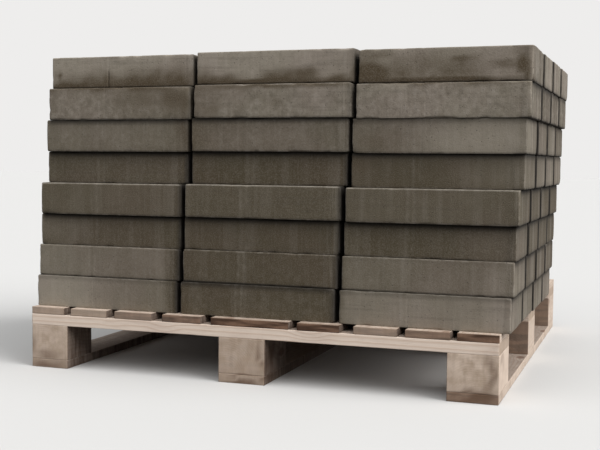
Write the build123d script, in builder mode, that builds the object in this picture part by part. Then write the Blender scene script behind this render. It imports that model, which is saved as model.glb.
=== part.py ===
from build123d import *
from random import Random
import os

# Pallet of concrete facing bricks: a dry stack of flat blocks on a square timber pallet.
# Millimetres. The origin is the middle of the pallet's underside, +X runs to the right
# along the stack's front, +Y runs to the back and +Z is up.

# The facing brick, a pressed concrete block lying on its bed face
brick_length = 400
brick_width = 190
brick_height = 80
brick_arris = 1.5

# The stack: three columns side by side, four rows deep, eight courses high
columns = 3
rows = 4
column_gap = 10
row_gap = 3.0
# How much taller or lower than nominal the bricks of each column came from the mould
column_tolerance = (0.0, 0.4, -0.1)
# How far each course's middle lies to the right of the pallet's middle, lowest course first
course_shift = (10, 16, 19, 25, 33, 36, 44, 46)
# How far each course's front lies behind the deck's front edge, lowest course first
course_setback = (27, 26, 34, 24, 42, 35, 30, 44)
# Each row stands a little further right than the row before it
row_drift = 2.0
# How far a brick may lie from its exact place, within the gaps round it
placing_play = 0.2 * row_gap
# How far the four bricks of one column may be pushed in or out together
column_push = 2.5

# The pallet
pallet_length = 1200
pallet_depth = 1200
deck_board_thickness = 18
outer_board_width = 95
inner_board_width = 104
middle_board_width = 200
# Boards between the middle one and each outer one
inner_board_count = 3
# How far each deck board was nailed from its even place, from the left
deck_board_nudge = (0, -4, -6, 0, 4, 2, 13, 8, 0)
stringer_thickness = 28
pallet_block_height = 88
left_block_across = 105
middle_block_across = 120
right_block_across = 117
# How far left of the pallet's middle its middle line of blocks was nailed
middle_line_offset = 15
# The stringers are as wide as the blocks of the right and middle lines are long
outer_block_along = 150
middle_block_along = 142
# The blocks of the left line were cut shorter
left_block_along = 118
bottom_board_thickness = 22
timber_arris = 1.0

# Levels, worked out from the sizes above
block_base = bottom_board_thickness
stringer_base = block_base + pallet_block_height
deck_base = stringer_base + stringer_thickness
deck_top = deck_base + deck_board_thickness

# Places across the pallet (X) of its three lines of blocks, and along it (Y)
across_places = {
    "left": (-(pallet_length - left_block_across) / 2, left_block_across),
    "middle": (-middle_line_offset, middle_block_across),
    "right": ((pallet_length - right_block_across) / 2, right_block_across),
}
along_places = {
    "front": (-(pallet_depth - outer_block_along) / 2, outer_block_along),
    "centre": (0, middle_block_along),
    "back": ((pallet_depth - outer_block_along) / 2, outer_block_along),
}


def save(piece, name):
    """Label a finished piece and write its STEP file."""
    piece.label = name
    export_step(piece, f"parts/{name}.step")


def sawn_timber(name, centre, size_x, size_y, base, thickness):
    """A sawn board or block, its sharp edges worn to a small arris."""
    with BuildPart() as timber:
        with BuildSketch(Plane.XY.offset(base)):
            with Locations(centre):
                Rectangle(size_x, size_y)
        extrude(amount=thickness)
        chamfer(timber.edges(), timber_arris)
    save(timber.part, name)


def deck_board_widths():
    """The widths of the deck boards from the left: a wide one in the middle."""
    inner = [inner_board_width] * inner_board_count
    return [outer_board_width] + inner + [middle_board_width] + inner + [outer_board_width]


def deck_boards():
    """The boards that carry the bricks, running from front to back with even gaps."""
    widths = deck_board_widths()
    gap = (pallet_length - sum(widths)) / (len(widths) - 1)
    left_edge = -pallet_length / 2
    for number, (width, nudge) in enumerate(zip(widths, deck_board_nudge), start=1):
        centre = (left_edge + width / 2 + nudge, 0)
        sawn_timber(f"deck_board_{number}", centre, width, pallet_depth, deck_base, deck_board_thickness)
        left_edge += width + gap


def stringers():
    """The three boards under the deck that join the lines of blocks, running left to right."""
    for line, (y, width) in along_places.items():
        sawn_timber(f"stringer_{line}", (0, y), pallet_length, width, stringer_base, stringer_thickness)


def pallet_blocks():
    """The nine timber blocks that hold the fork pockets open, flush with the pallet's edge."""
    short_outer_y = (pallet_depth - left_block_along) / 2
    short_places = {"front": -short_outer_y, "centre": 0, "back": short_outer_y}
    for line, (y, along) in along_places.items():
        for side, (x, across) in across_places.items():
            place = (x, short_places[line]) if side == "left" else (x, y)
            length = left_block_along if side == "left" else along
            sawn_timber(f"block_{line}_{side}", place, across, length, block_base, pallet_block_height)


def bottom_boards():
    """The three boards that the pallet stands on, under each line of blocks."""
    for side, (x, across) in across_places.items():
        sawn_timber(f"bottom_board_{side}", (x, 0), across, pallet_depth, 0, bottom_board_thickness)


def course_places():
    """Each course's shift, kept so close to the one below that no brick leaves its own column."""
    most = column_gap - 2 * placing_play
    places = [course_shift[0]]
    for wanted in course_shift[1:]:
        step = wanted - places[-1]
        places.append(places[-1] + max(-most, min(most, step)))
    return places


def brick_courses():
    """The courses of loose bricks, each column of its own moulded height."""
    hand = Random(8)
    pitch_x = brick_length + column_gap
    pitch_y = brick_width + row_gap
    for course, (shift, setback) in enumerate(zip(course_places(), course_setback)):
        with BuildPart() as bricks:
            for column in range(columns):
                height = brick_height + column_tolerance[column]
                base = deck_top + course * height
                column_x = shift + (column - (columns - 1) / 2) * pitch_x
                front_y = -pallet_depth / 2 + setback + hand.uniform(-column_push, column_push)
                with BuildSketch(Plane.XY.offset(base)):
                    for row in range(rows):
                        x = column_x + row * row_drift + hand.uniform(-placing_play, placing_play)
                        y = front_y + row * pitch_y + hand.uniform(-placing_play, placing_play)
                        with Locations((x, y + brick_width / 2)):
                            Rectangle(brick_length, brick_width)
                extrude(amount=height)
            chamfer(bricks.edges(), brick_arris)
        save(bricks.part, f"brick_course_{course + 1}")


os.makedirs("parts", exist_ok=True)
bottom_boards()
pallet_blocks()
stringers()
deck_boards()
brick_courses()
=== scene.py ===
# %% [markdown]
# # A pallet of concrete facing bricks
#
# This notebook dresses a loaded pallet: ninety-six flat bricks of pressed concrete, stacked
# dry on a square timber pallet. The CAD frame already holds the true size and place of every
# brick and board, so nothing is measured again here. What a frame of plain boxes lacks is
# what handling, rain and sawing leave: chipped arrises, damp, drag lines, grain and dirt.

# %% Load the frame
import math
from types import SimpleNamespace

import bmesh
import bpy
import numpy as np
from mathutils import Matrix, Vector


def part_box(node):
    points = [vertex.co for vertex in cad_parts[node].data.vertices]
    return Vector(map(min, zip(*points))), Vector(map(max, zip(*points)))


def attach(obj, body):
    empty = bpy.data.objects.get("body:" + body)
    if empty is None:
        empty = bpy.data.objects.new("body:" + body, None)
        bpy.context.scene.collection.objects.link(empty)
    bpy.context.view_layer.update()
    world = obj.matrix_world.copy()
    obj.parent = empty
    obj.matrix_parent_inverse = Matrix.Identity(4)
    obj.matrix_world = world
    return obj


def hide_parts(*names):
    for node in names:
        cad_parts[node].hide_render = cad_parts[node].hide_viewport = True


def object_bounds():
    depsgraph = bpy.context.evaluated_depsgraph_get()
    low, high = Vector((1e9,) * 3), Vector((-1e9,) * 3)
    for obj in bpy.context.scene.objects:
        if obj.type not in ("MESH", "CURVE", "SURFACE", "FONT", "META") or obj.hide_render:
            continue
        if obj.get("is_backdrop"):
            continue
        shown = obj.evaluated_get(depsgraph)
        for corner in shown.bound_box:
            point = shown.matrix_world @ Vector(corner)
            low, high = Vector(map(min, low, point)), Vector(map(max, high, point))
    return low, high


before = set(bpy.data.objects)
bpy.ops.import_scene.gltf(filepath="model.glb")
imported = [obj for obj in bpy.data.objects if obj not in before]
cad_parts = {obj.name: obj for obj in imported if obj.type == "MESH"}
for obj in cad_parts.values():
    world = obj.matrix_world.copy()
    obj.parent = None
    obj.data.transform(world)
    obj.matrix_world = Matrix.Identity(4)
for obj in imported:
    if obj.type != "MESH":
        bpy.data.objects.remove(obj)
cad_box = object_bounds()
MM = 0.001
print("nodes in the frame:", len(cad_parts))

# %% [markdown]
# ## Shader maths that reads like Python
#
# A material is a graph of nodes, and long chains of Math nodes are hard to read when each
# one takes three lines of code. So a socket is wrapped in a small class whose operators add
# the Math nodes, and every other node comes from a single method, which sets the node's
# options first and its sockets after. A finish is then painted as a painter would: a body
# colour, and coats over it that each show only where their own share is more than 0.

# %% A socket that can be added, multiplied and divided
def methods_of(kind):
    """The names of a class's own methods."""
    return [name.strip("_") for name, part in vars(kind).items() if callable(part)]


class Signal:
    """A value in a material's node tree. Sums on it add Math nodes."""

    def __init__(self, finish, socket):
        self.finish = finish
        self.socket = socket

    def maths(self, operation, *values):
        sockets = dict(enumerate(values))
        return self.finish.node("ShaderNodeMath", {"operation": operation}, sockets)

    def __add__(self, other):
        return self.maths("ADD", self, other)

    def __sub__(self, other):
        return self.maths("SUBTRACT", self, other)

    def __rsub__(self, other):
        return self.maths("SUBTRACT", other, self)

    def __mul__(self, other):
        return self.maths("MULTIPLY", self, other)

    def __truediv__(self, other):
        return self.maths("DIVIDE", self, other)

    def __rtruediv__(self, other):
        return self.maths("DIVIDE", other, self)

    __radd__ = __add__
    __rmul__ = __mul__

    def rise(self, start, end):
        """0 below start, 1 above end and smooth between; start may be the higher one."""
        settings = {"interpolation_type": "SMOOTHSTEP"}
        limits = {"Value": self, "From Min": start, "From Max": end}
        return self.finish.node("ShaderNodeMapRange", settings, limits)


print("methods of a signal:", methods_of(Signal))

# %% A material under construction
class Finish:
    """A material, and the nodes that its colour and relief come from."""

    def __init__(self, name):
        self.material = bpy.data.materials.new(name)
        self.material.use_nodes = True
        self.tree = self.material.node_tree
        self.shader = self.tree.nodes["Principled BSDF"]

    def plug(self, socket, value):
        if isinstance(value, Signal):
            self.tree.links.new(value.socket, socket)
        else:
            socket.default_value = value

    def node(self, kind, settings=None, sockets=None, out=0):
        """Add a node: its settings first, then values or links for its sockets."""
        node = self.tree.nodes.new(kind)
        for name, value in (settings or {}).items():
            setattr(node, name, value)
        for name, value in (sockets or {}).items():
            self.plug(node.inputs[name], value)
        return Signal(self, node.outputs[out])

    def read(self, name, out="Fac"):
        """A value that the mesh carries at its points."""
        return self.node("ShaderNodeAttribute", {"attribute_name": name}, out=out)

    def read_all(self, *names):
        """Several of those values under their own names."""
        return SimpleNamespace(**{name: self.read(name) for name in names})

    def scaled(self, vector, scale):
        """The vector with each part multiplied, which stretches a pattern fed by it."""
        sockets = {0: vector, 1: scale}
        return self.node("ShaderNodeVectorMath", {"operation": "MULTIPLY"}, sockets)

    def cloud(self, vector, scale, detail=3.0, roughness=0.5):
        """Soft noise from 0 to 1, scale blobs to the metre."""
        sockets = {"Vector": vector, "Scale": scale, "Detail": detail, "Roughness": roughness}
        return self.node("ShaderNodeTexNoise", sockets=sockets)

    def blend(self, share, first, second, mode="MIX"):
        """The first colour turned into the second by the share."""
        settings = {"data_type": "RGBA", "blend_type": mode}
        return self.node("ShaderNodeMix", settings, {0: share, 6: first, 7: second}, out=2)

    def coats(self, body, *coats):
        """The body colour under more coats, each a share and the colour that it brings."""
        for share, paint in coats:
            body = self.blend(share, body, paint)
        return body

    def bump(self, height):
        """Relief from a height in millimetres."""
        return self.node("ShaderNodeBump", sockets={"Height": height, "Distance": MM})

    def wear(self, **sockets):
        """Feed the shader itself. Names are socket names with _ for a space."""
        for name, value in sockets.items():
            self.plug(self.shader.inputs[name.replace("_", " ")], value)


print("methods of a finish:", methods_of(Finish))


# %% Colours as a paint chart writes them
def colour(red, green, blue):
    """A colour of 0 to 255 a channel, as the linear values that a shader takes."""
    def linear(part):
        part = part / 255
        return part / 12.92 if part <= 0.04045 else ((part + 0.055) / 1.055) ** 2.4
    return (linear(red), linear(green), linear(blue), 1.0)


print("middle grey as a shader takes it:", colour(128, 128, 128))

# %% [markdown]
# ## Where each brick lies
#
# Each course is one CAD node that holds twelve separate solids. To give every brick its own
# chips and tone, the course is taken apart again: the mesh is welded, and each island of
# joined faces is one brick. Reading the boxes from the frame keeps every brick exactly where
# the checks tested it.

# %% Find the bricks of a course
WELD = 0.01 * MM


def loose_boxes(node):
    """(low, high) corners of each separate solid of a CAD node, left to right, front to back."""
    copy = bmesh.new()
    copy.from_mesh(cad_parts[node].data)
    bmesh.ops.remove_doubles(copy, verts=copy.verts, dist=WELD)
    waiting = set(copy.verts)
    boxes = []
    while waiting:
        island = {waiting.pop()}
        edge_of_island = list(island)
        while edge_of_island:
            vertex = edge_of_island.pop()
            joined = {edge.other_vert(vertex) for edge in vertex.link_edges} - island
            island |= joined
            edge_of_island.extend(joined)
        waiting -= island
        places = np.array([vertex.co for vertex in island])
        boxes.append((places.min(axis=0), places.max(axis=0)))
    copy.free()
    return sorted(boxes, key=lambda box: (round(box[0][0], 1), box[0][1]))


course_nodes = sorted(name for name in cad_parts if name.startswith("brick_course_"))
courses = [loose_boxes(node) for node in course_nodes]
for node, boxes in zip(course_nodes, courses):
    print(node, "holds", len(boxes), "bricks")

# %% The outline of each course
outlines = []
for boxes in courses:
    lows, highs = np.array(boxes).transpose(1, 0, 2)
    outlines.append((lows.min(axis=0), highs.max(axis=0)))
TOP = len(outlines) - 1
deck_top = float(outlines[0][0][2])
stack_top = float(outlines[TOP][1][2])
stack_front = outlines[0][0][1]
print("stack stands from", deck_top, "to", stack_top)

# %% [markdown]
# ## Noise for shapes
#
# Chips and dents need a noise that moves vertices. Numpy works on all the points at once, so
# a table of random numbers is blended smoothly between its cells, which is called value
# noise. The table comes from a fixed seed, and so the same chips appear on every run.

# %% Value noise over many points
TABLE = 32
table = np.random.RandomState(7).rand(TABLE, TABLE, TABLE)


def lumps(points, size):
    """Smooth noise from 0 to 1 at each point, with lumps about this size in metres."""
    cells = points / size
    low = np.floor(cells).astype(int)
    share = cells - low
    share = share * share * (3 - 2 * share)
    total = np.zeros(len(points))
    for corner in np.ndindex(2, 2, 2):
        weight = np.where(corner, share, 1 - share).prod(axis=1)
        i, j, k = ((low + corner) % TABLE).T
        total += weight * table[i, j, k]
    return total


def fade(distance, reach):
    """1 at no distance, falling evenly to 0 at the reach."""
    return np.clip(1 - distance / reach, 0, 1)


print("noise at the origin:", lumps(np.zeros((1, 3)), 10 * MM))

# %% [markdown]
# ## A box with worn arrises
#
# A bevel would give every brick the same clean edge. A real arris is a little rounder here
# and broken off there. So the box is made as a grid that is fine near its edges and coarse
# in the middle of its faces, and each point is pulled back onto a ball that rolls inside the
# box. Where the ball is small the arris is sharp, and where it is large a chip is missing.

# %% Grid of a box
# How far in from an arris the first grid lines lie
EDGE_STEPS = np.array([0, 1.1, 2.8, 5.5]) * MM


def steps_along(length, step, extra=()):
    """Places of the grid lines along one side: close together at both ends."""
    inner = length - 2 * EDGE_STEPS[-1]
    count = max(1, round(inner / step))
    middle = EDGE_STEPS[-1] + inner * np.arange(1, count) / count
    lines = np.concatenate([EDGE_STEPS, middle, length - EDGE_STEPS[::-1], np.array(extra)])
    return np.unique(lines.round(6))


def shell(lines):
    """Points and quads of a box surface that has these grid lines along X, Y and Z."""
    shape = [len(line) for line in lines]
    outside = np.zeros(shape, bool)
    for axis in range(3):
        np.moveaxis(outside, axis, 0)[[0, -1]] = True
    numbers = np.zeros(shape, int)
    numbers[outside] = np.arange(outside.sum())
    points = np.stack(np.meshgrid(*lines, indexing="ij"), axis=-1)[outside]
    quads = []
    for axis in range(3):
        for end in (0, -1):
            side = np.take(numbers, end, axis=axis)
            quad = np.stack([side[:-1, :-1], side[1:, :-1], side[1:, 1:], side[:-1, 1:]], axis=-1)
            quad = quad.reshape(-1, 4)
            faces_out = (end == -1) != (axis == 1)
            quads.append(quad if faces_out else quad[:, ::-1])
    return points, np.concatenate(quads)


print("grid lines along 80 mm:", steps_along(80 * MM, 10 * MM).tolist())

# %% Rolling ball, and which face a point lies on
ON_FACE = 0.1 * MM


def roll_edges(points, size, radius, dent):
    """Each point pulled onto a ball of its own radius that rolls inside the box, less a dent."""
    ball = radius[:, None]
    centre = np.clip(points, ball, size - ball)
    way_out = points - centre
    way_out /= np.linalg.norm(way_out, axis=1, keepdims=True)
    return centre + way_out * (ball - dent[:, None])


def from_faces(points, size):
    """How far each point is from the nearer face across X, Y and Z."""
    return np.minimum(points, size - points)


def on_faces(points, size, axis):
    """Which points lie on the low and on the high face across one axis."""
    return points[:, axis] < ON_FACE, points[:, axis] > size[axis] - ON_FACE


unit_points, _ = shell([np.array([0, 0.5, 1.0])] * 3)
print("points on a box cut once each way:", len(unit_points))

# %% [markdown]
# ## From arrays to a piece
#
# A piece is built from many worn boxes at once. Besides its shape it carries values at its
# points, such as the brick's own tone and the place on the brick, and the material reads
# them by name. That is how one material can make every brick and board different.

# %% Join worn boxes into one piece
def join_piece(name, parts, material, node):
    """One mesh object from (points, quads, values) parts, standing for this CAD node."""
    starts = np.cumsum([0] + [len(points) for points, _, _ in parts[:-1]])
    points = np.concatenate([part[0] for part in parts])
    quads = np.concatenate([part[1] + start for part, start in zip(parts, starts)])
    mesh = bpy.data.meshes.new(name)
    mesh.from_pydata(points.tolist(), [], quads.tolist())
    for label in parts[0][2]:
        values = np.concatenate([part[2][label] for part in parts])
        kind, field = ("FLOAT_VECTOR", "vector") if values.ndim == 2 else ("FLOAT", "value")
        layer = mesh.attributes.new(label, kind, "POINT")
        layer.data.foreach_set(field, values.astype(np.float32).ravel())
    mesh.shade_smooth()
    mesh.materials.append(material)
    piece = bpy.data.objects.new(name, mesh)
    bpy.context.scene.collection.objects.link(piece)
    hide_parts(node)
    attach(piece, "root")
    print(name, "has", len(quads), "quads")
    return piece


# %% [markdown]
# ## The concrete
#
# The bricks are pressed from a stiff, sandy mix and pushed straight out of the mould. That
# drags fine upright lines down their sides, and ribs the ends more than the long faces. The
# colour is a warm grey that drifts between olive and a faint pink. Dry bricks are pale and
# damp ones are a dark olive brown, and the line between is neither straight nor sharp. Worn
# arrises show the paler sand.
#
# The same could be painted as an image, but a texture made from nodes stays sharp at any
# distance and needs no unwrapping.

# %% Concrete: what the bricks carry, and the patterns in the mix
concrete = Finish("pressed_concrete")
paste = concrete.read("paste", "Vector")
brick = concrete.read_all("arris", "tone", "dry", "damp_mark", "joint", "sheltered", "ledge",
                          "blotchy", "ribbed", "mould_line", "bed_face")
drift = concrete.cloud(paste, 5, 2)
mottle = concrete.cloud(paste, 13, 3, 0.55)
cloudy = concrete.cloud(paste, 60, 4, 0.65)
grit = concrete.cloud(paste, 420, 2, 0.6)
pores = concrete.node("ShaderNodeTexVoronoi", sockets={"Vector": paste, "Scale": 105})
# Squeezed along Z, a cloud turns into lines that run down a face
drag = concrete.cloud(concrete.scaled(paste, (1, 1, 0.05)), 150, 3, 0.6)
ribs = concrete.cloud(concrete.scaled(paste, (1, 1, 0.03)), 75, 2, 0.5)
bands = concrete.cloud(concrete.scaled(paste, (1, 1, 0.03)), 30, 2, 0.5)
layers = concrete.cloud(concrete.scaled(paste, (0.05, 0.05, 1)), 130, 2, 0.5)
print("values read from the bricks:", len(vars(brick)) + 1)

# %% Concrete: dry and damp paste
wavering = (mottle - 0.5) * (brick.blotchy * 0.3 + 0.2)
dry_share = (brick.dry + wavering + (brick.tone - 0.5) * 0.16).rise(0.0, 1.0)
paste_colour = concrete.blend(dry_share, colour(87, 77, 60), colour(160, 151, 140))
hue = concrete.blend(drift.rise(0.38, 0.62), colour(120, 122, 96), colour(134, 122, 114))
paste_colour = concrete.blend(0.35, paste_colour, hue, "SOFT_LIGHT")
print("nodes so far:", len(concrete.tree.nodes))

# %% Concrete: flecks, layers, and the lines of the mould
upright = 1 - brick.bed_face
patchy = brick.blotchy * (0.32 - dry_share * 0.18) + 0.03
layered = (layers - 0.5).rise(0.0, 0.2) * brick.tone.rise(0.4, 0.8)
streak = (drag - 0.5).rise(-0.05, 0.2) * upright
dark_rib = (0.5 - ribs).rise(0.0, 0.14) * upright
seam = brick.mould_line * (cloudy.rise(0.35, 0.65) * 0.07 + 0.03)
moulded = concrete.coats(
    paste_colour,
    # Pale and dark flecks, most on a course that has dried in patches
    ((cloudy - 0.5).rise(-0.03, 0.16) * patchy, colour(172, 163, 153)),
    ((0.5 - cloudy).rise(-0.01, 0.16) * patchy, colour(72, 65, 55)),
    # Layers of the mix, and lines dragged down it
    (layered * upright * 0.22, colour(72, 65, 55)),
    (streak * (brick.ribbed * 0.12 + dry_share * 0.06 + 0.03), colour(178, 170, 159)),
    # Broad bands and narrow ribs, on the ends above all
    ((bands - 0.5).rise(0.0, 0.14) * (brick.ribbed * 0.14 + 0.05), colour(176, 168, 158)),
    ((0.5 - bands).rise(0.0, 0.14) * brick.ribbed * 0.24, colour(62, 56, 48)),
    (dark_rib * (brick.ribbed * 0.24 + 0.03), colour(58, 52, 44)),
    # The pale lines beside the mould's joint
    (seam * (mottle.rise(0.35, 0.6) + 0.35), colour(176, 168, 158)),
)
print("nodes so far:", len(concrete.tree.nodes))

# %% Concrete: pores, worn arrises, damp marks, joint dirt, and painted shade and highlights
pore = pores.rise(0.16, 0.06) * (grit - 0.42).rise(0.0, 0.06)
# Worn arrises show paler sand; on a ledge the arris also gets a painted highlight
wear_and_highlight = cloudy.rise(0.42, 0.6) * 0.2 + brick.ledge * 0.4 + 0.03
uneven = 1 + (mottle - 0.5) * 1.3 + (cloudy - 0.5) * 0.5
weathered_concrete = concrete.coats(
    moulded,
    (pore * 0.5, colour(44, 40, 35)),
    (brick.arris.rise(4.5 * MM, 0.8 * MM) * wear_and_highlight, colour(180, 172, 161)),
    ((brick.damp_mark * uneven).rise(0.0, 1.0), colour(83, 71, 54)),
    ((grit - 0.5).rise(-0.1, 0.2) * 0.12, colour(184, 176, 165)),
    # Painted shade under an overhang
    (brick.sheltered * (1 - brick.joint) * 0.74, colour(36, 31, 25)),
    # The dark of the joints: dirt in them, and painted shade in the gaps and along the feet
    (brick.joint * 0.94, colour(24, 20, 16)),
)
lines_relief = drag * upright * 0.3 + ribs * brick.ribbed * 0.8
relief = grit * 0.7 - pore * 1.2 + lines_relief + cloudy * 0.6
concrete.wear(Base_Color=weathered_concrete, Roughness=0.78 + dry_share * 0.16)
concrete.wear(Normal=concrete.bump(relief), Specular_IOR_Level=0.25)
print("concrete nodes:", len(concrete.tree.nodes))

# %% [markdown]
# ## Where the stack is damp
#
# Rain soaks a stack from the joints, and wind dries it from the outside. The top course is
# dry and pale, the two below it are half dry, and the five lowest are damp, but for the outer
# columns of the last two, which have dried again. On the top course, water hangs along the
# lower edge of a face and stays dark there. Each course has one dryness for its middle column
# and one for the outer ones, because a joint stops the damp: it changes from brick to brick
# and not by height. The marks on top of that are listed, as soft patches on the front.

# %% How dry each course is
# All from the lowest course to the top one: the middle column, then the two outer ones
MIDDLE_DRYNESS = (0.0, 0.02, -0.04, 0.1, 0.04, 0.41, 0.52, 1.0)
OUTER_DRYNESS = (0.56, 0.42, 0.1, 0.18, 0.12, 0.42, 0.53, 1.0)
# The outer columns start this far from the middle, and the change to them takes this width
COLUMN_EDGE, COLUMN_BLEND = 0.2, 0.04
# How patchily each course has dried
BLOTCHY = (0.1, 0.05, 0.0, 0.0, 0.0, 0.25, 1.0, 0.8)
# The ends of the bricks dry by themselves, those of the front row the most
FRONT_END_DRYNESS = (0.46, 0.5, 0.38, 0.14, 0.42, 0.6, 0.45, 0.36)
OTHER_END_DRYNESS = (0.44, 0.2, -0.1, 0.02, 0.44, 0.36, 0.33, 0.57)


def stack_dryness(points, course):
    """1 where a course is dry and 0 where it is damp."""
    outer = np.clip((np.abs(points[:, 0]) - COLUMN_EDGE) / COLUMN_BLEND, 0, 1)
    return MIDDLE_DRYNESS[course] + outer * (OUTER_DRYNESS[course] - MIDDLE_DRYNESS[course])


print("dryness of the middle column:", MIDDLE_DRYNESS)

# %% Damp and dried marks on the front
# Each mark: its middle across the front and up, half its length and height, all in
# millimetres, and its strength. A mark stays within the course that its middle is in.
DAMP_MARKS = (
    # Top course, left column
    (-330, 718, 200, 32, 1.15), (-262, 738, 30, 28, 0.9), (-205, 728, 58, 34, 1.15),
    (-520, 720, 90, 10, 1.2), (-548, 748, 11, 14, 0.8),
    # Top course, middle column
    (50, 720, 260, 12, 1.3), (-95, 724, 62, 19, 1.0), (88, 726, 78, 26, 1.05),
    (105, 740, 54, 18, 0.95), (205, 724, 44, 14, 0.9), (-135, 734, 28, 26, 0.7),
    # Top course, right column
    (288, 734, 38, 34, 1.2), (295, 782, 44, 15, 0.7), (370, 762, 130, 34, 0.35),
    (280, 774, 56, 40, 0.55), (628, 782, 40, 18, 0.6), (360, 738, 48, 28, 0.75),
    (455, 720, 220, 8, 1.2), (500, 764, 50, 13, 0.85), (585, 758, 46, 14, 0.85),
    (630, 756, 22, 20, 1.2), (450, 748, 240, 46, 0.6), (612, 790, 8, 5, 1.0),
    (645, 735, 10, 24, 1.0), (635, 765, 34, 44, 0.5),
    # Second course from the top
    (-365, 715, 230, 6, 0.9), (50, 715, 230, 6, 0.8), (455, 715, 210, 5, 0.7),
    (-300, 690, 95, 42, 0.52), (-205, 682, 50, 44, 0.8), (-185, 668, 18, 16, 0.8),
    (-380, 712, 210, 14, 0.35), (-122, 664, 40, 26, 0.55), (-182, 676, 24, 60, 0.8),
    (57, 678, 15, 15, 0.4), (620, 660, 14, 30, 0.4), (-150, 662, 42, 34, 0.5),
    (290, 660, 70, 30, 0.2),
    # Third and fourth, beside the gaps between the columns
    (-186, 590, 28, 60, 0.8), (-148, 596, 50, 60, 0.5), (305, 578, 75, 28, 0.5),
    (258, 594, 34, 60, 0.35), (252, 535, 50, 40, 0.6), (198, 545, 32, 22, 0.5),
    (-142, 545, 30, 20, 0.4),
    # The two lowest
    (-250, 196, 130, 80, 0.22), (470, 300, 160, 34, 0.15),
)
DRIED_MARKS = (
    # The two top courses
    (-400, 790, 200, 20, 0.2), (-20, 765, 120, 24, 0.25), (200, 775, 45, 20, 0.2),
    (-340, 768, 150, 30, 0.1), (480, 680, 200, 60, 0.1), (590, 665, 80, 34, 0.16),
    # Third to sixth
    (540, 596, 120, 60, 0.4), (430, 580, 60, 30, 0.2), (-420, 614, 190, 30, 0.07),
    (90, 596, 120, 56, 0.06), (600, 516, 110, 70, 0.28), (-430, 440, 210, 60, 0.07),
    (-565, 364, 100, 50, 0.26), (600, 356, 90, 70, 0.2),
    # The two lowest
    (-560, 276, 70, 70, 0.14), (592, 262, 24, 36, 0.2), (-555, 192, 95, 70, 0.5),
    (592, 190, 20, 44, 0.2),
)
# Marks reach in this far from the front
MARKED_DEPTH = 50 * MM
# How far noise pushes the edge of a mark to and fro, across and up
WAVER_ACROSS, WAVER_UP = 36 * MM, 12 * MM


def placed_marks(points, marks):
    """How strongly the placed marks show at each point of the front, with uneven edges."""
    x = points[:, 0] + (lumps(points, 34 * MM) - 0.5) * WAVER_ACROSS
    z = points[:, 2] + (lumps(points + 1, 26 * MM) - 0.5) * WAVER_UP
    share = np.zeros(len(points))
    for across, up, half_length, half_height, strength in marks:
        reach = ((x / MM - across) / half_length) ** 2 + ((z / MM - up) / half_height) ** 2
        share = np.maximum(share, strength * np.exp(-0.7 * reach))
    return share * (points[:, 1] < stack_front + MARKED_DEPTH)


print("marks:", len(DAMP_MARKS), "damp and", len(DRIED_MARKS), "dried")

# %% [markdown]
# ## The shade of the joints
#
# A face that lies against another brick never dries and gathers dirt. Where it comes out at
# the arris it draws the dark line of the joint, deepened in the gaps with painted shade. Where a
# course hangs over the one below, the strip under it is darkened for a few centimetres with
# painted shade. A brick that stands in front of the one above it gets a painted highlight on
# its top arris instead, and rain splashes dirt from there onto the foot of the upper brick,
# which also carries painted contact shade. So each brick needs to know its neighbours. The
# dirt and damp, and the painted shade and highlight, all go into the brick's colour and stay on it
# under any light.

# %% Under and over another course
# How far the painted shade under an overhang reaches down
SHADE_BELOW_OVERHANG = 17 * MM
# From here to the right, this course lies almost flush with the one above and has less shade
FLUSH_COURSE, FLUSH_FROM, FLUSH_LESS = 5, 0.24, 0.5
# The joint above the lowest course has more painted shade in the middle column
LOW_JOINT_MORE = 0.8
# A setback shows as a ledge, with a painted highlight on its arris, from the first depth on
# and is full at the second, down to a height
LEDGE_FROM, LEDGE_FULL, LEDGE_HEIGHT = 3 * MM, 15 * MM, 6 * MM


def overhang(points, outline):
    """How far the next course stands out over each point."""
    return np.minimum(points[:, :2] - outline[0][:2], outline[1][:2] - points[:, :2]).min(axis=1)


def bed_shade(points, course):
    """How much darker or paler than usual the joint above a course is."""
    flush = (course == FLUSH_COURSE) * (points[:, 0] > FLUSH_FROM)
    darker_middle = (course == 0) * (np.abs(points[:, 0]) < COLUMN_EDGE)
    return 1 - FLUSH_LESS * flush + LOW_JOINT_MORE * darker_middle


def sheltered(points, high, course):
    """Painted shade from the course above at each point, most just under that course."""
    if course == TOP:
        return np.zeros(len(points))
    reach = overhang(points, outlines[course + 1])
    share = np.interp(reach, np.array([-1, 1, 5, 7]) * MM, [0, 0.3, 0.6, 1])
    return share * bed_shade(points, course) * np.exp(-(high[2] - points[:, 2]) / SHADE_BELOW_OVERHANG)


def on_ledge(points, high, course):
    """Painted highlight, 1 at the top arris of a damp course where the one above is set back and
    leaves a ledge.
    """
    if course == TOP:
        return np.zeros(len(points))
    step = outlines[course + 1][0][1] - points[:, 1]
    damp = (1 - stack_dryness(points, course)) ** 2
    at_top = high[2] - points[:, 2] < LEDGE_HEIGHT
    return damp * np.clip((step - LEDGE_FROM) / (LEDGE_FULL - LEDGE_FROM), 0, 1) * at_top


print("front of each course:", [round(float(low[1]), 3) for low, _ in outlines])

# %% Between neighbours
# A face this near to the outline of its course is open to the air
OPEN_AIR = 30 * MM
# From this course up the gaps between the columns get less painted shade at their mouths
LESS_GAP_SHADE_FROM = 5
# How deep in a gap between columns its painted shade starts, and over what depth it grows
LOWER_GAP_MOUTH, UPPER_GAP_MOUTH = (-2 * MM, 6 * MM), (8 * MM, 12 * MM)
# How far the painted shade of a gap comes round an arris: between columns, and between rows
LOWER_GAP_REACH, UPPER_GAP_REACH, ROW_REACH = 3.5 * MM, 1.5 * MM, 14 * MM
# A right arris beside a gap turns away from the open side, into painted shade: reach and share
LOWER_ARRIS_SHADE, UPPER_ARRIS_SHADE = (13 * MM, 0.95), (7 * MM, 0.5)


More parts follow.
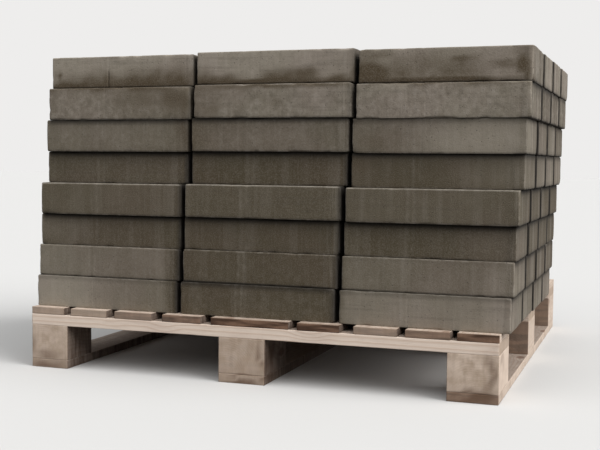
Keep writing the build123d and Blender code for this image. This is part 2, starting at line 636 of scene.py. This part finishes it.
def between_neighbours(points, low, high, course):
    """Dirt and painted shade: 1 on faces towards bricks beside, before and behind, fading past the
    arris.
    """
    outline = outlines[course]
    upper_course = course >= LESS_GAP_SHADE_FROM
    depth = np.minimum(points[:, 1] - outline[0][1], outline[1][1] - points[:, 1])
    if course == TOP:
        depth = np.minimum(depth, high[2] - points[:, 2])
    start, growth = UPPER_GAP_MOUTH if upper_course else LOWER_GAP_MOUTH
    deep = np.clip((depth - start) / growth, 0, 1)
    shut = np.zeros(len(points))
    for axis, reach, share in ((0, UPPER_GAP_REACH if upper_course else LOWER_GAP_REACH, deep), (1, ROW_REACH, 1.0)):
        if low[axis] > outline[0][axis] + OPEN_AIR:
            near = fade(points[:, axis] - low[axis], reach)
            shut = np.maximum(shut, share * near ** 0.7)
        if high[axis] < outline[1][axis] - OPEN_AIR:
            near = fade(high[axis] - points[:, axis], reach)
            shut = np.maximum(shut, share * near ** 0.7)
    if high[0] < outline[1][0] - OPEN_AIR:
        reach, share = UPPER_ARRIS_SHADE if upper_course else LOWER_ARRIS_SHADE
        shut = np.maximum(shut, share * fade(high[0] - points[:, 0], reach))
    return shut


print("dark of a gap between rows reaches", ROW_REACH, "past the arris")

# %% Between courses
# How dark each course's foot is with dirt and painted contact shade, lowest course first
FOOT_DIRT_AND_SHADE = (0, 0.6, 0.15, 0.35, 0.15, 0.35, 0.35, 0.75)
# The height of that dark foot, and its height and share on the right-hand ends
FOOT, END_FOOT, END_FOOT_DARK = 6 * MM, 7 * MM, 0.8
MOST_FOOT_DARK = 0.9
# How far under an overhang, and how far below the arris, the painted shade of a bed joint shows
UNDER_OVERHANG = np.array([-6, 1, 5]) * MM
BELOW_ARRIS = np.array([0, 4, 14]) * MM


def between_courses(points, low, high, course):
    """The foot of a brick, darkened with dirt and painted contact shade, and painted shade under an
    overhang.
    """
    shut = np.zeros(len(points))
    if course > 0:
        above_bed = points[:, 2] - low[2]
        on_end = np.abs(points[:, 0] - outlines[course][1][0]) < OPEN_AIR
        foot_dark = np.minimum(FOOT_DIRT_AND_SHADE[course] * bed_shade(points, course - 1), MOST_FOOT_DARK)
        foot = foot_dark * np.clip((FOOT - above_bed) / (FOOT / 2), 0, 1)
        shut = np.where(on_end, END_FOOT_DARK * fade(above_bed, END_FOOT), foot)
    if course < TOP:
        reach = overhang(points, outlines[course + 1])
        shade = np.interp(reach, UNDER_OVERHANG, [0, 0.5, 1]) * bed_shade(points, course)
        shade = shade * np.interp(high[2] - points[:, 2], BELOW_ARRIS, [1, 0.95, 0])
        shut = np.maximum(shut, np.minimum(shade, 1))
    return shut


print("dirt along the feet:", FOOT_DIRT_AND_SHADE)

# %% [markdown]
# ## Ninety-six worn bricks
#
# Every brick has its own random tone and its own stretch of the noise, so that no two share
# a chip. Each long face carries the mould's upright joint about two fifths along, a shallow
# nick between two pale lines. Arrises are worn round, and most of all at the corners and
# high up in the stack, where handling knocks them.

# %% Wear of a brick
# How far an arris is worn round on average and at the most, and the depth of a full chip
ARRIS, MOST_WORN, CHIP_DEPTH = 2.1 * MM, 8 * MM, 5 * MM
# A chip's width, how high the noise has to rise before one breaks out, and how fast it grows
LARGE_CHIPS = (21 * MM, 0.64, 3.2)
SMALL_CHIPS = (8 * MM, 0.66, 1.8)
# How far from a corner the wear is still heavier
CORNER = 16 * MM
# The open upright arrises are worn a little more, this far in from them
UPRIGHT, UPRIGHT_WEAR = 7 * MM, 0.5 * MM
dice = np.random.RandomState(21)


def chipped(own, kind):
    """How much of this kind of chip is missing at each point."""
    width, from_height, growth = kind
    return np.clip(lumps(own, width) - from_height, 0, 1) * growth


def brick_radius(points, own, size, low, open_end):
    """How far each point's arris is worn round or chipped away."""
    inside = from_faces(points, size)
    corner = np.exp(-(np.sort(inside, axis=1)[:, 2] / CORNER) ** 2)
    worn = 0.55 + lumps(own, 30 * MM) * 0.6 + lumps(own, 9 * MM) * 0.4 + corner * 0.6
    high_up = (low[2] - deck_top) / (stack_top - deck_top)
    battered = 1 + np.clip(high_up * 4 - 2, 0, 0.8)
    chips = chipped(own, LARGE_CHIPS) + chipped(own, SMALL_CHIPS)
    missing = (chips * (1 + corner * 1.5) * battered).clip(0, 1.4) * CHIP_DEPTH
    upright = (inside[:, :2].max(axis=1) < UPRIGHT) * open_end * UPRIGHT_WEAR
    return np.minimum(ARRIS * worn + missing + upright, MOST_WORN)


print("an arris is worn", ARRIS / MM, "mm round, and", MOST_WORN / MM, "mm at the most")

# %% The mould's line
# Its place along the brick, half the width and the depth of the nick, and the band beside it
MOULD_LINE = 0.41
NICK_HALF = 2.5 * MM
NICK_DEPTH = 0.5 * MM
MOULD_BAND = 16 * MM
# On one corner brick of the top course the nick has broken out lower down
BROKEN_NICK = 5 * MM
BROKEN_BELOW = 0.55


def mould_cuts(line):
    """Extra grid lines for the nick and for the pale lines beside it."""
    nick = line + NICK_HALF * np.array([-1, 0, 1])
    band = line - MOULD_BAND * np.array([-0.35, 0, 0.35, 0.65, 1.0, 1.35])
    return np.append(nick, band)


def pale_lines(points, line):
    """1 on the two lines that edge the band beside the nick."""
    off_band = np.abs(np.abs(points[:, 0] - line + MOULD_BAND / 2) - MOULD_BAND / 2)
    return fade(off_band, 0.35 * MOULD_BAND)


print("extra grid lines at the nick:", len(mould_cuts(0.0)))

# %% Shape one brick
# How far the ribs of the right end reach round onto the long faces
RIBBED_END = 45 * MM
# Spacing of the grid lines: on open faces, on hidden ones, and up the brick
FINE, COARSE, UP = 9 * MM, 45 * MM, 10 * MM


def worn_brick(low, high, course):
    """Points, quads and carried values of one brick."""
    size = high - low
    outline = outlines[course]
    to_air = np.minimum(np.abs(low - outline[0]), np.abs(high - outline[1]))
    open_end, open_long, _ = to_air < OPEN_AIR
    open_top = course == TOP
    line = size[0] * MOULD_LINE
    points, quads = shell([
        steps_along(size[0], FINE if open_long or open_top else COARSE, mould_cuts(line)),
        steps_along(size[1], FINE if open_end or open_top else COARSE),
        steps_along(size[2], UP),
    ])
    own = points + dice.uniform(0, 3, 3)
    front, back = on_faces(points, size, 1)
    bottom, top = on_faces(points, size, 2)
    # A bed that lies on another brick stays flat, or light would shine through the joint
    lies_on_another = bottom | (top & (not open_top))
    dent = lumps(own, 45 * MM) * 0.5 * MM * ~lies_on_another
    shaped = roll_edges(points, size, brick_radius(points, own, size, low, open_end), dent)
    front_left = (low[:2] < outline[0][:2] + OPEN_AIR).all()
    broken_out = (open_top and front_left) * (points[:, 2] < size[2] * BROKEN_BELOW)
    nick = (NICK_DEPTH + broken_out * BROKEN_NICK) * fade(np.abs(points[:, 0] - line), NICK_HALF)
    shaped[:, 1] += nick * front - nick * back
    return shaped + low, quads, brick_values(points, own, low, high, course)


print("grid of an open brick:", FINE, "and of a hidden one:", COARSE)


# %% What the concrete reads from one brick
def brick_values(points, own, low, high, course):
    """What the concrete reads at each point of a brick."""
    size = high - low
    placed = points + low
    left, right = on_faces(points, size, 0)
    front, back = on_faces(points, size, 1)
    bottom, top = on_faces(points, size, 2)
    ends = left | right
    dried, damp = (
        placed_marks(placed, [mark for mark in marks if low[2] < mark[1] * MM < high[2]])
        for marks in (DRIED_MARKS, DAMP_MARKS)
    )
    in_front = low[1] < outlines[course][0][1] + OPEN_AIR
    end_dryness = (FRONT_END_DRYNESS if in_front else OTHER_END_DRYNESS)[course]
    towards_end = np.clip((points[:, 0] - size[0] + RIBBED_END) / RIBBED_END, 0, 1)
    neighbours = between_neighbours(placed, low, high, course)
    return {
        "paste": own,
        "arris": np.sort(from_faces(points, size), axis=1)[:, 1],
        "tone": np.full(len(points), dice.uniform()),
        "dry": np.where(ends, end_dryness, stack_dryness(placed, course) + dried),
        "damp_mark": damp,
        # The dark of the joints is dirt and painted shade; below it, painted shade under an overhang
        # and a painted highlight on a ledge
        "joint": np.maximum(neighbours, between_courses(placed, low, high, course)),
        "sheltered": sheltered(placed, high, course),
        "ledge": on_ledge(placed, high, course),
        "blotchy": np.full(len(points), BLOTCHY[course]),
        "ribbed": np.maximum(ends, towards_end),
        "mould_line": pale_lines(points, size[0] * MOULD_LINE) * (front | back),
        "bed_face": (bottom | top) * 1.0,
    }


print("ribs reach in", RIBBED_END, "from the right end")

# %% Dress the courses
brick_pieces = []
for course, node in enumerate(course_nodes):
    bricks = [worn_brick(low, high, course) for low, high in courses[course]]
    piece = join_piece("worn_" + node, bricks, concrete.material, node)
    brick_pieces.append(piece)
print("brick quads:", sum(len(piece.data.polygons) for piece in brick_pieces))

# %% [markdown]
# ## The timber
#
# The pallet is sawn from fresh softwood. A board is cut from a log, so its grain is a set of
# growth rings about the log's heart, seen as long streaks on the faces and as arcs on the
# ends. One ring pattern in space gives both, if each board brings its own distance to the
# heart. End grain drinks dirty water and turns brown, and knots and saw marks break up the
# rest.

# %% Timber: growth rings, bent round the knots
RING = 5.5 * MM
timber = Finish("sawn_softwood")
grain = timber.read("grain", "Vector")
wood = timber.read_all("tone", "end_gap", "soaked_end", "soiled", "shaded", "weathered")
wander = timber.cloud(timber.scaled(grain, (0.9, 9, 9)), 1.0, 3)
knot_cells = {"Vector": timber.scaled(grain, (6.5, 12, 12)), "Scale": 1.0}
knots = timber.node("ShaderNodeTexVoronoi", sockets=knot_cells)
knot = knots.rise(0.17, 0.1)
pull = knots.rise(0.45, 0.12) * (7 * MM)
across_grain = {0: timber.scaled(grain, (0, 1, 1))}
radial = timber.node("ShaderNodeVectorMath", {"operation": "LENGTH"}, across_grain, out=1)
ring = (radial + wander * (14 * MM) + pull) / RING
part_of_ring = ring.maths("FRACT", ring)
late_wood = part_of_ring.rise(0.45, 0.92) * part_of_ring.rise(1.0, 0.93)
print("a growth ring is", RING / MM, "mm wide")

# %% Timber: fibres, saw marks and blotches
fibre = timber.cloud(timber.scaled(grain, (0.03, 1, 1)), 700, 2, 0.6)
flame = timber.cloud(timber.scaled(grain, (0.3, 1, 1)), 22, 3)
blotch = timber.cloud(grain, 30, 3, 0.6)
saw = timber.cloud(timber.scaled(grain, (1, 0.04, 0.04)), 260, 1, 0.5)
stripe = timber.cloud(timber.scaled(grain, (1, 1, 0.12)), 90, 3, 0.6)
core = timber.cloud(timber.scaled(grain, (1, 0.14, 1)), 80, 2, 0.5)
end_wood = wood.end_gap.rise(1.6 * MM, 0.5 * MM)
print("nodes so far:", len(timber.tree.nodes))

# %% Timber: sawn faces and cut ends
sawn = timber.coats(
    timber.blend(late_wood * 0.46, colour(247, 230, 214), colour(206, 174, 149)),
    (knot * 0.75, colour(132, 92, 68)),
    ((flame - 0.5).rise(-0.1, 0.3) * 0.35, colour(202, 180, 166)),
    (wood.tone * 0.22, colour(193, 164, 141)),
    (fibre.rise(0.42, 0.75) * 0.2, colour(164, 138, 118)),
)
clean_cut = timber.coats(
    timber.blend(blotch.rise(0.3, 0.7), colour(188, 167, 147), colour(221, 201, 183)),
    (stripe.rise(0.4, 0.7) * 0.2, colour(158, 134, 116)),
    (late_wood * 0.05, colour(136, 108, 88)),
)
soaked_cut = timber.coats(
    timber.blend(core.rise(0.38, 0.6), colour(76, 55, 42), colour(130, 101, 82)),
    (stripe.rise(0.4, 0.6) * 0.2, colour(92, 70, 56)),
)
print("nodes so far:", len(timber.tree.nodes))

# %% Timber: ends, weather, dirt and shade over it all
soak_and_shade_share = (wood.soaked_end + (blotch - 0.5) * 0.5).rise(0.0, 1.0)
dirt_and_ledge_shade_share = (wood.soiled + (blotch - 0.5) * 0.7).rise(0.05, 1.2)
used_timber = timber.coats(
    sawn,
    # Cut ends darkened by soaking, and on three inner blocks also by painted shade
    (end_wood, timber.blend(soak_and_shade_share, clean_cut, soaked_cut)),
    (wood.weathered * (flame * 0.5 + blotch * 0.5), colour(161, 142, 125)),
    # Dirt, with painted contact shade on the deck's edge in front of the bricks
    (dirt_and_ledge_shade_share * 0.9, colour(110, 86, 68)),
    # Painted shade on the faces between and under the boards
    (wood.shaded * (stripe * 0.5 + 0.6), colour(66, 48, 37)),
)
saw_relief = saw * (1 - end_wood) * 0.22
relief = fibre * 0.35 + late_wood * 0.14 + saw_relief + flame * 0.5 - knot * 0.3
timber.wear(Base_Color=used_timber, Roughness=0.76 + flame * 0.12)
timber.wear(Normal=timber.bump(relief), Specular_IOR_Level=0.25)
print("timber nodes:", len(timber.tree.nodes))

# %% [markdown]
# ## Boards and blocks
#
# The grain of deck and bottom boards runs front to back, that of the stringers left to
# right, and the blocks are short lengths sawn off a post, with the grain front to back. Each
# piece is the same worn box, now with its splinters drawn out along the grain. The points
# carry the dirt again, and painted shade: feet are soiled, the deck's edge in front of the
# bricks carries dirt and painted contact shade, faces between and under the boards carry
# painted shade, and the outermost faces and the top of the deck have weathered.

# %% What each board is like
GRAIN_AXIS = {"deck_board": 1, "bottom_board": 1, "block": 1, "stringer": 0}
# Stains on the fronts of the blocks and their feet, placed like the damp marks of the bricks
STAINS = (
    (586, 70, 13, 50, 1), (500, 20, 16, 8, 0.8), (572, 18, 26, 12, 1.1), (540, 24, 50, 4, 0.9),
    (540, 3, 60, 4, 1), (38, 62, 8, 40, 0.9), (-15, 4, 60, 5, 1), (-15, 22, 50, 3, 0.9),
    (42, 14, 8, 12, 1), (-547, 34, 44, 12, 0.9), (-555, 8, 60, 9, 1), (-597, 70, 5, 40, 0.9),
)
# How dark the cut ends have turned: some boards have drunk more rain than others, and the
# centre middle, centre right and back right blocks are darkened further as painted shade
SOAKED = {"deck_board": 0.4, "bottom_board": 0.6, "block": 0.12, "stringer": 0.1}
SOAK_AND_SHADE_BOARDS = {
    "deck_board_1": 0.42, "deck_board_2": 0.4, "deck_board_3": 0.6, "deck_board_4": 0.77,
    "deck_board_5": 1.15, "deck_board_6": 1.25, "deck_board_7": 0.54, "deck_board_8": 0.73,
    "deck_board_9": 0.95, "block_front_middle": 0.28, "block_front_right": -0.1,
    "block_centre_middle": 0.3, "block_centre_right": 0.6, "block_back_right": 0.58,
    "bottom_board_left": 0.3, "bottom_board_middle": 0.2, "bottom_board_right": 0.66,
}
pallet_half = max(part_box(name)[1][0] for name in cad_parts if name.startswith("stringer"))
print("the pallet reaches", pallet_half, "either side of its middle")

# %% Shape one board
# Spacing of a board's grid lines
ALONG_GRAIN, ACROSS_GRAIN = 26 * MM, 12 * MM
# Noise is squeezed by this along the grain, which draws splinters out
SPLINTER_STRETCH = 0.12
# How round the saw leaves an arris, and the height of noise from which a splinter is missing
SAWN_ARRIS = 0.6 * MM
SPLINTER_FROM = 0.62


def worn_board(low, high, along, soak_and_shade):
    """Points, quads and carried values of one board or block, with its grain along an axis."""
    size = high - low
    steps = [ALONG_GRAIN if axis == along else ACROSS_GRAIN for axis in range(3)]
    points, quads = shell([steps_along(size[axis], steps[axis]) for axis in range(3)])
    stretch = np.ones(3)
    stretch[along] = SPLINTER_STRETCH
    own = points * stretch + dice.uniform(0, 3, 3)
    splinters = np.clip(lumps(own, 5 * MM) - SPLINTER_FROM, 0, 1) * 4.2 * MM
    radius = SAWN_ARRIS + lumps(own, 9 * MM) * 0.8 * MM + splinters
    dent = lumps(own, 20 * MM) * 0.25 * MM
    shaped = roll_edges(points, size, radius, dent)
    # The log's heart: a random place along it, and a few centimetres to the side and below
    heart = [dice.uniform(0, 9), dice.uniform(-0.05, 0.05), dice.uniform(0.03, 0.09)]
    order = [along] + [axis for axis in range(3) if axis != along]
    values = {
        "grain": (points - size / 2)[:, order] + np.array(heart),
        "tone": np.full(len(points), dice.uniform()),
        "end_gap": from_faces(points, size)[:, along],
        "soaked_end": np.full(len(points), soak_and_shade),
    }
    values.update(board_dirt(points, low, high, along, soak_and_shade))
    return shaped + low, quads, values


print("grid along the grain:", ALONG_GRAIN, "and across:", ACROSS_GRAIN)

# %% Dirt and weather on a board
# Mud reaches this high. The other faces take only this part of what a cut end takes
DIRTY_BELOW, MUD, MUD_ON_SIDES = 75 * MM, 0.55, 0.45
# Faces within this of one another lie flush
TOUCHING = 1 * MM
# The deck's edge in front of the bricks, darkened with dirt and painted contact shade,
# reaches this far in under the front bricks
DECK_LEDGE_UNDER = 2 * MM
# A front block is shorter than the first, and starts in front of the second
LONGEST_BLOCK, FRONT_ROW = 0.3, -0.5


def board_dirt(points, low, high, along, soak_and_shade):
    """Where a board carries dirt, painted shade, and weathering."""
    size = high - low
    placed = points + low
    side = np.logical_or(*on_faces(points, size, 0))
    cut_end = np.logical_or(*on_faces(points, size, along))
    upper = on_faces(points, size, 2)[1]
    outer = side & (np.abs(placed[:, 0]) > pallet_half - TOUCHING)
    in_deck = high[2] > deck_top - TOUCHING
    deck_face = upper & in_deck
    # The deck's top just in front of the bricks: dirt and painted contact shade
    ledge_dirt_and_shade = deck_face & (placed[:, 1] < stack_front + DECK_LEDGE_UNDER)
    set_in = from_faces(points, size)[:, 1] > 3 * MM
    under_deck = upper & (not in_deck) & ~side & ~cut_end & set_in
    front_block = along == 1 and size[1] < LONGEST_BLOCK and low[1] < FRONT_ROW
    mud = MUD * fade(placed[:, 2], DIRTY_BELOW)
    soiled = [
        mud * np.where(cut_end, 1.0, MUD_ON_SIDES),
        placed_marks(placed, STAINS),
        ledge_dirt_and_shade * (0.2 + 0.4 * soak_and_shade),
        deck_face * (0.04 + 0.3 * lumps(placed, 110 * MM)),
    ]
    return {
        "soiled": np.maximum.reduce(soiled),
        "shaded": (side & ~outer) * 1.0 + under_deck * 0.7,
        "weathered": outer * (0.6 if front_block else 1.0) + deck_face * 0.75,
    }


print("mud reaches up to", DIRTY_BELOW)

# %% Dress the pallet
timber_pieces = []
for node in sorted(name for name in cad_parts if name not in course_nodes):
    low, high = (np.array(corner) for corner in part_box(node))
    kind = next(kind for kind in GRAIN_AXIS if node.startswith(kind))
    soak_and_shade = SOAK_AND_SHADE_BOARDS.get(node, SOAKED[kind])
    board = worn_board(low, high, GRAIN_AXIS[kind], soak_and_shade)
    timber_pieces.append(join_piece("sawn_" + node, [board], timber.material, node))
print("timber quads:", sum(len(piece.data.polygons) for piece in timber_pieces))

# %% [markdown]
# ## Floor, light and camera
#
# The light is that of an overcast day in a plain studio. A dim even sky fills the shadows,
# one broad patch of it stands high in front, and a brighter one on the right lights the ends
# of the bricks. Both patches are sun lamps with a very wide disc: they light the far floor
# as much as the near one, so that floor and backdrop meet without a line. The camera sees a
# pale floor, while the light sees a darker one. Otherwise the floor would throw light up
# under every overhang.

# %% Floor
REACH = 40.0
floor_mesh = bpy.data.meshes.new("floor")
corners = [(-REACH, -REACH, 0), (REACH, -REACH, 0), (REACH, REACH, 0), (-REACH, REACH, 0)]
floor_mesh.from_pydata(corners, [], [(0, 1, 2, 3)])
floor = bpy.data.objects.new("floor", floor_mesh)
bpy.context.scene.collection.objects.link(floor)
ground = Finish("pale_floor")
seen = ground.node("ShaderNodeLightPath")
floor_colour = ground.blend(seen, colour(120, 119, 118), colour(214, 213, 211))
# No sheen, or the far floor would shine brighter than the backdrop
ground.wear(Base_Color=floor_colour, Roughness=0.9, Specular_IOR_Level=0.0)
floor_mesh.materials.append(ground.material)
floor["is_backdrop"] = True
print("the floor reaches", REACH, "m each way")

# %% Sky
world = bpy.data.worlds.new("even_sky")
bpy.context.scene.world = world
world.use_nodes = True
tree = world.node_tree
sky = tree.nodes["Background"]
sky.inputs["Color"].default_value = (0.95, 0.97, 1.0, 1.0)
sky.inputs["Strength"].default_value = 0.32
backdrop = tree.nodes.new("ShaderNodeBackground")
backdrop.inputs["Color"].default_value = colour(238, 237, 236)
rays = tree.nodes.new("ShaderNodeLightPath")
either = tree.nodes.new("ShaderNodeMixShader")
tree.links.new(rays.outputs["Is Camera Ray"], either.inputs[0])
tree.links.new(sky.outputs[0], either.inputs[1])
tree.links.new(backdrop.outputs[0], either.inputs[2])
tree.links.new(either.outputs[0], tree.nodes["World Output"].inputs["Surface"])
print("sky nodes:", len(tree.nodes))


# %% The two bright patches of the sky
def bright_patch(name, height, turn, spread, strength):
    """A wide sun, height above the horizon and turn to the right of the front in degrees."""
    light = bpy.data.lights.new(name, "SUN")
    light.angle = math.radians(spread)
    light.energy = strength
    item = bpy.data.objects.new(name, light)
    height, turn = math.radians(height), math.radians(turn)
    flat = math.cos(height)
    towards = Vector((math.sin(turn) * flat, -math.cos(turn) * flat, math.sin(height)))
    item.rotation_euler = towards.to_track_quat("Z", "Y").to_euler()
    bpy.context.scene.collection.objects.link(item)
    print(name, "shines from", tuple(round(part, 2) for part in towards))


bright_patch("high_front", height=58, turn=10, spread=80, strength=1.5)
bright_patch("right_side", height=36, turn=82, spread=50, strength=3.0)

# %% Camera
# Where it stands in metres, and how far it is turned left, tilted up and rolled, in degrees
EYE = Vector((0.9263, -2.8718, 0.5325))
PAN, PITCH, ROLL = (math.radians(angle) for angle in (19.279, -3.461, 0.500))
ahead = Vector((-math.sin(PAN) * math.cos(PITCH), math.cos(PAN) * math.cos(PITCH), math.sin(PITCH)))
level = Vector((math.cos(PAN), math.sin(PAN), 0))
above = level.cross(ahead)
right = level * math.cos(ROLL) + above * math.sin(ROLL)
up = above * math.cos(ROLL) - level * math.sin(ROLL)
lens = bpy.data.cameras.new("camera")
lens.sensor_width = 36
lens.lens = 61.9
camera = bpy.data.objects.new("camera", lens)
camera.matrix_world = Matrix.Translation(EYE) @ Matrix((right, up, -ahead)).transposed().to_4x4()
bpy.context.scene.collection.objects.link(camera)
bpy.context.scene.camera = camera
bpy.context.scene.view_settings.view_transform = "Standard"
print("lens:", lens.lens, "mm")

# %% Sizes, and the end
dressed_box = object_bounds()
boxes = {"cad": cad_box, "dressed": dressed_box}
print("CAD box", cad_box, "dressed box", dressed_box)
